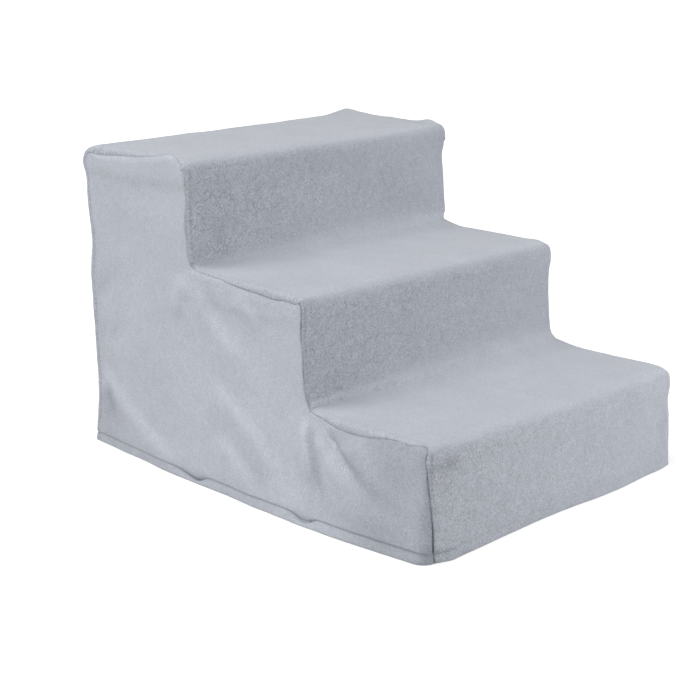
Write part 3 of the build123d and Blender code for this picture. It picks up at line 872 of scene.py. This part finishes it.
# Away from its edges the strip is rounder over the nosings than the seam's sharp corners
roundness = smooth(edge_distance, 1, 40)[:, None]
bridging = bridging_at(strip_x)
bridge = to_strip(seam_wide - seam_round) * bridging
strip_base = to_strip(seam_outside) * (1 - roundness)
strip_base += to_strip(seam_round) * roundness
strip_base += bridge
strip_y, strip_z = strip_base.T
strip_normals = to_strip(seam_normals) * (1 - roundness)
strip_normals += to_strip(path_normals(seam_round)) * roundness
strip_normals *= 1 - bridging
strip_normals += to_strip(path_normals(seam_wide)) * bridging
strip_normals /= np.linalg.norm(strip_normals, axis=1)[:, None]

# Its faces stand out from the steps, and its edges turn down to the seams
bulge = strip_bulge(strip_x, strip_y, strip_z, *strip_normals.T)
set_back, drop = corner_section(
    edge_distance, -1, from_seams(2), to_strip(seam_depths), from_seams(3)
)
left_out, right_out = (to_strip(seams[side][0]) for side in ("left", "right"))
strip_across = np.sign(strip_x) * (strip_half - set_back)
strip_across += right_out * strip_share - left_out * (1 - strip_share)
allowance = 0.3 * smooth(edge_distance, 1.0, 3.4) * (1 - smooth(edge_distance, 7.4, 10))
pucker = unevenness(strip_x * 0.3, to_strip(seam_lengths), strip_z * 0, 9, 63.0)
hem_seen = 1 - 0.85 * smooth(strip_x + strip_half, 16, 40) * (strip_y < 0)
relief = bulge - drop + allowance * (1 + 0.9 * pucker) + hem_relief(strip_z) * hem_seen
hang = back_hang(strip_x, strip_y, strip_z, strip_normals[:, 0])
outer_yz = strip_base + strip_normals * relief[:, None] + hang
outer = np.column_stack([middle_x + strip_across, outer_yz])
inner_out = np.maximum(bulge, 0) - turned_up(strip_z, bulge)
inner_yz = to_strip(seam_inside) + bridge + strip_normals * inner_out[:, None] + hang
inner_across = strip_across * (half_width + inside_reach) / strip_half
inner = np.column_stack([middle_x + inner_across, inner_yz])
numbers = np.arange(row_count * column_count).reshape(row_count, column_count)
cell_corners = (numbers[:-1, :-1], numbers[:-1, 1:], numbers[1:, 1:], numbers[1:, :-1])
strip_faces = np.stack([corner.ravel() for corner in cell_corners], axis=1)

# Painted shade makes it darker on the two upper risers, on the front toward the left and in a crease at
# the front's top left corner
painted_shade = painted_seam_line(edge_distance, to_strip(painted_seam_darkness))
painted_shade += 1.6 * painted_stitch_line(strip_z) * hem_seen
facing = smooth(-strip_normals[:, 0], 0.5, 0.95)
behind_front = smooth(strip_y, front + face_reach, front + 60)
painted_shade += 0.11 * facing * behind_front
painted_shade += 0.05 * facing * (1 - smooth(strip_share, 0, 0.5)) * (1 - behind_front)
painted_corner_crease = fold(strip_x + strip_half, strip_z, ((1, 84), (18, 82), (38, 79)), 0.12, 6)
painted_shade += np.where(strip_y < front + face_reach, painted_corner_crease, 0)
edges, hems = [numbers[:, 0], numbers[:, -1]], [numbers[0], numbers[-1]]
strip = shell("cover_strip_cloth", outer, inner, strip_faces, edges, hems, painted_shade)
strip_fleece = fleece(
    "brushed_fleece_strip", lightness=0.44, flat_depth=0.28, upright_depth=0.8, right_depth=0.4
)
strip.data.materials.append(strip_fleece)
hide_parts("cover_centre_strip")
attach(strip, "cover")


# Frame: injection-moulded polypropylene that plugs together. It is satin and faintly waxy, with
# the spark-eroded grain of its mould, and is seen only from below or with the cover off. The real
# grain is about 0.1 mm wide, too fine to show, so it is drawn several times coarser.
flow_mark_size = 60
mould_grain_depth = 0.2


def moulded(name, low, high, roughness, grain_size):
    """A moulded plastic or rubber with the grain of its mould, and faint marks of how it flowed."""
    material, tree = new_material(name)
    place = add_node(tree, "ShaderNodeTexCoord").outputs["Object"]
    grain, flow = (
        add_node(
            tree, "ShaderNodeTexNoise", {"Scale": to_mm / size, "Detail": detail}, {"Vector": place}
        ).outputs["Fac"]
        for size, detail in ((grain_size, 2.0), (flow_mark_size, 1.0))
    )
    colours = add_node(tree, "ShaderNodeValToRGB", {}, {"Fac": flow})
    dark, pale = colours.color_ramp.elements
    dark.position, dark.color = 0.3, linear(low)
    pale.position, pale.color = 0.7, linear(high)
    bump = add_node(
        tree,
        "ShaderNodeBump",
        {"Strength": 0.2, "Distance": mould_grain_depth / to_mm},
        {"Height": grain},
    )
    surface = add_node(
        tree,
        "ShaderNodeBsdfPrincipled",
        {"Roughness": roughness, "IOR": 1.49},
        {"Base Color": colours.outputs["Color"], "Normal": bump.outputs["Normal"]},
    )
    add_node(tree, "ShaderNodeOutputMaterial", {}, {"Surface": surface.outputs["BSDF"]})
    return material


polypropylene = moulded(
    "moulded_polypropylene", low="dcdcda", high="e4e4e2", roughness=0.42, grain_size=0.8
)
for name in frame["record"]["behaviour"]["bodies"]["frame"]:
    if name != "rubber_feet":
        frame["nodes"][name].material_slots[0].material = polypropylene

# Feet: eight pads of soft moulded rubber, dull and dark, each pressed into the foot of a post.
# They keep the stairs from sliding, and are seen only from below or with the cover off.
rubber = moulded("moulded_rubber", low="1d1d1f", high="262628", roughness=0.75, grain_size=0.5)
frame["nodes"]["rubber_feet"].material_slots[0].material = rubber


# Floor and light: a white studio sweep under broad soft lamps. The strongest hangs over the stairs,
# two stand at their left, behind and in front, and weaker ones behind and at the front right.
def seen_directly(tree):
    """1 for what is seen straight, in a mirror or through glass, and 0 for light on the stairs."""
    ray = add_node(tree, "ShaderNodeLightPath").outputs
    seen = ray["Is Camera Ray"]
    for kind in ("Is Glossy Ray", "Is Transmission Ray"):
        seen = add_node(
            tree, "ShaderNodeMath", {"operation": "MAXIMUM"}, {0: seen, 1: ray[kind]}
        ).outputs[0]
    return seen


floor_width = 40
bpy.ops.mesh.primitive_plane_add(size=floor_width)
floor = bpy.context.object
floor.name = "studio_floor"

# The paper glows to white away from the stairs, and less near them, where it takes their shadow
shade_reach, white_reach = 0.4, 2.0
near_glow, far_glow = 0.66, 1.0
material, tree = new_material("white_paper_floor")
seen = seen_directly(tree)
paper = add_node(tree, "ShaderNodeBsdfDiffuse", {"Color": linear("d2d2d2")}).outputs[0]
place = add_node(tree, "ShaderNodeTexCoord").outputs["Object"]
away = add_node(tree, "ShaderNodeVectorMath", {"operation": "LENGTH"}, {0: place}).outputs["Value"]
fade = add_node(
    tree,
    "ShaderNodeMapRange",
    {1: shade_reach, 2: white_reach, 3: near_glow, 4: far_glow},
    {0: away},
)
glow = add_node(tree, "ShaderNodeEmission", {}, {"Strength": fade.outputs[0]}).outputs[0]
both = add_node(tree, "ShaderNodeAddShader", {}, {0: paper, 1: glow}).outputs[0]
mix = add_node(tree, "ShaderNodeMixShader", {}, {0: seen, 1: paper, 2: both})
add_node(tree, "ShaderNodeOutputMaterial", {}, {"Surface": mix.outputs[0]})
floor.data.materials.append(material)

# The sky is white to the eye, and gives the stairs hardly any light of its own
sky_light, sky_seen = 0.02, 1.0
world = bpy.data.worlds.new("studio_sky")
bpy.context.scene.world = world
world.use_nodes = True
tree = world.node_tree
tree.nodes.clear()
seen = seen_directly(tree)
sky, white = (
    add_node(
        tree, "ShaderNodeBackground", {"Color": (1, 1, 1, 1), "Strength": strength}
    ).outputs[0]
    for strength in (sky_light, sky_seen)
)
mix = add_node(tree, "ShaderNodeMixShader", {}, {0: seen, 1: sky, 2: white})
add_node(tree, "ShaderNodeOutputWorld", {}, {"Surface": mix.outputs[0]})

lamp_target = Vector((0, 0, 0.12))


def soft_lamp(name, place, size, strength):
    """A round lamp, in metres and watts, turned to the middle of the stairs."""
    lamp = bpy.data.lights.new(name, "AREA")
    lamp.shape = "DISK"
    lamp.size = size
    lamp.energy = strength
    holder = bpy.data.objects.new(name, lamp)
    bpy.context.scene.collection.objects.link(holder)
    holder.location = place
    holder.rotation_euler = (lamp_target - Vector(place)).to_track_quat("-Z", "Y").to_euler()


soft_lamp("key_lamp", (-1.0, 0.5, 3.0), 2.0, 43)
soft_lamp("back_left_lamp", (-2.2, 1.4, 2.6), 2.0, 29)
soft_lamp("front_left_lamp", (-2.6, -1.2, 1.6), 1.5, 33)
soft_lamp("back_lamp", (0.3, 2.6, 2.0), 2.0, 9)
soft_lamp("front_lamp", (1.3, -1.5, 0.6), 1.0, 23)

# Camera: it looks at the left front corner from a little above the top step, through a long lens.
# Its angles are in degrees, its places and distance in metres, and its lens in millimetres.
azimuth, elevation, roll = (math.radians(angle) for angle in (-45.52, 15.56, 0.24))
camera_distance = 1.638
look_at = Vector((middle_x / to_mm - 0.0422, (front + back) / 2 / to_mm, 0.1156))
toward_camera = Vector(
    (
        math.sin(azimuth) * math.cos(elevation),
        -math.cos(azimuth) * math.cos(elevation),
        math.sin(elevation),
    )
)
camera = bpy.data.objects.new("camera", bpy.data.cameras.new("camera"))
bpy.context.scene.collection.objects.link(camera)
camera.location = look_at + toward_camera * camera_distance
camera.rotation_mode = "QUATERNION"
turn = (-toward_camera).to_track_quat("-Z", "Y")
camera.rotation_quaternion = turn @ Matrix.Rotation(roll, 4, "Z").to_quaternion()
camera.data.sensor_width = 36
camera.data.lens = 86.6
bpy.context.scene.camera = camera
bpy.context.scene.view_settings.view_transform = "Standard"
